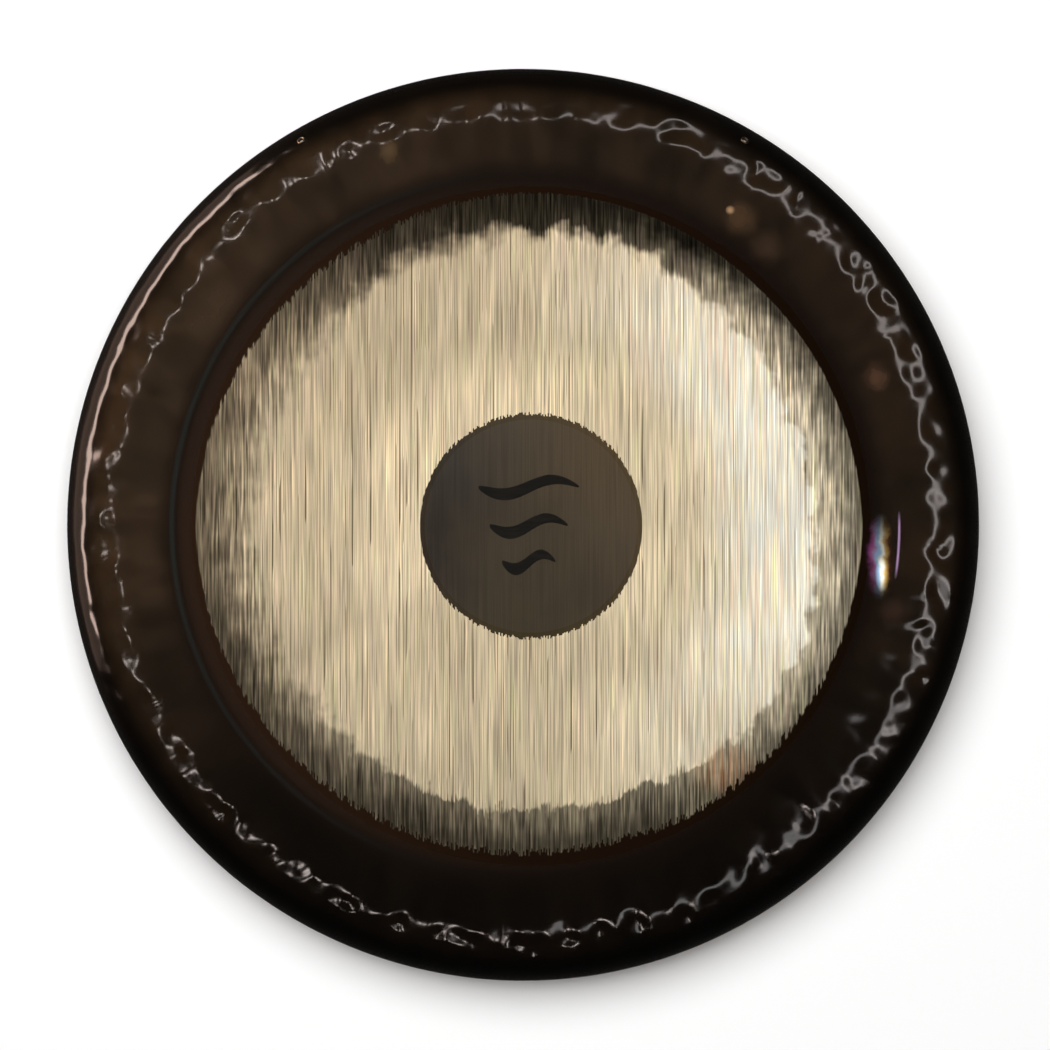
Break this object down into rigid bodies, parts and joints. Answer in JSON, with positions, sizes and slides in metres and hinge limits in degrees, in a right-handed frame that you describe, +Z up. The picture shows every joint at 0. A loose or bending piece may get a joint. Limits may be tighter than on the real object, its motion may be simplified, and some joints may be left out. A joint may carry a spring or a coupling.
{
  "type": "tam tam gong",
  "caption": "Large hung gong of one hammered sheet with a turned-back rim, a bright brushed middle, a dark oxidised band, lined hanging holes and a painted ripple mark.",
  "frame": {"origin": "midway between the centres of the two hanging eyelets, where the front of the sheet is in their holes", "axes": "+Z up as the gong hangs, -Y the way the struck face looks, +X to the right seen from the front"},
  "size_m": [0.8122, 0.0666, 0.8122],
  "materials": {
    "brushed_nickel_silver": "brushed",
    "oxidised_centre_disc": "satin",
    "dark_oxide_rim": "satin",
    "oxidised_back": "matte",
    "eyelet_metal": "polished",
    "black_paint": "matte"
  },
  "bodies": {
    "root": {"gong_plate": "brushed_nickel_silver", "hole_eyelet_left": "eyelet_metal", "hole_eyelet_right": "eyelet_metal", "painted_ripple_upper": "black_paint", "painted_ripple_middle": "black_paint", "painted_ripple_lower": "black_paint"}
  },
  "joints": []
}
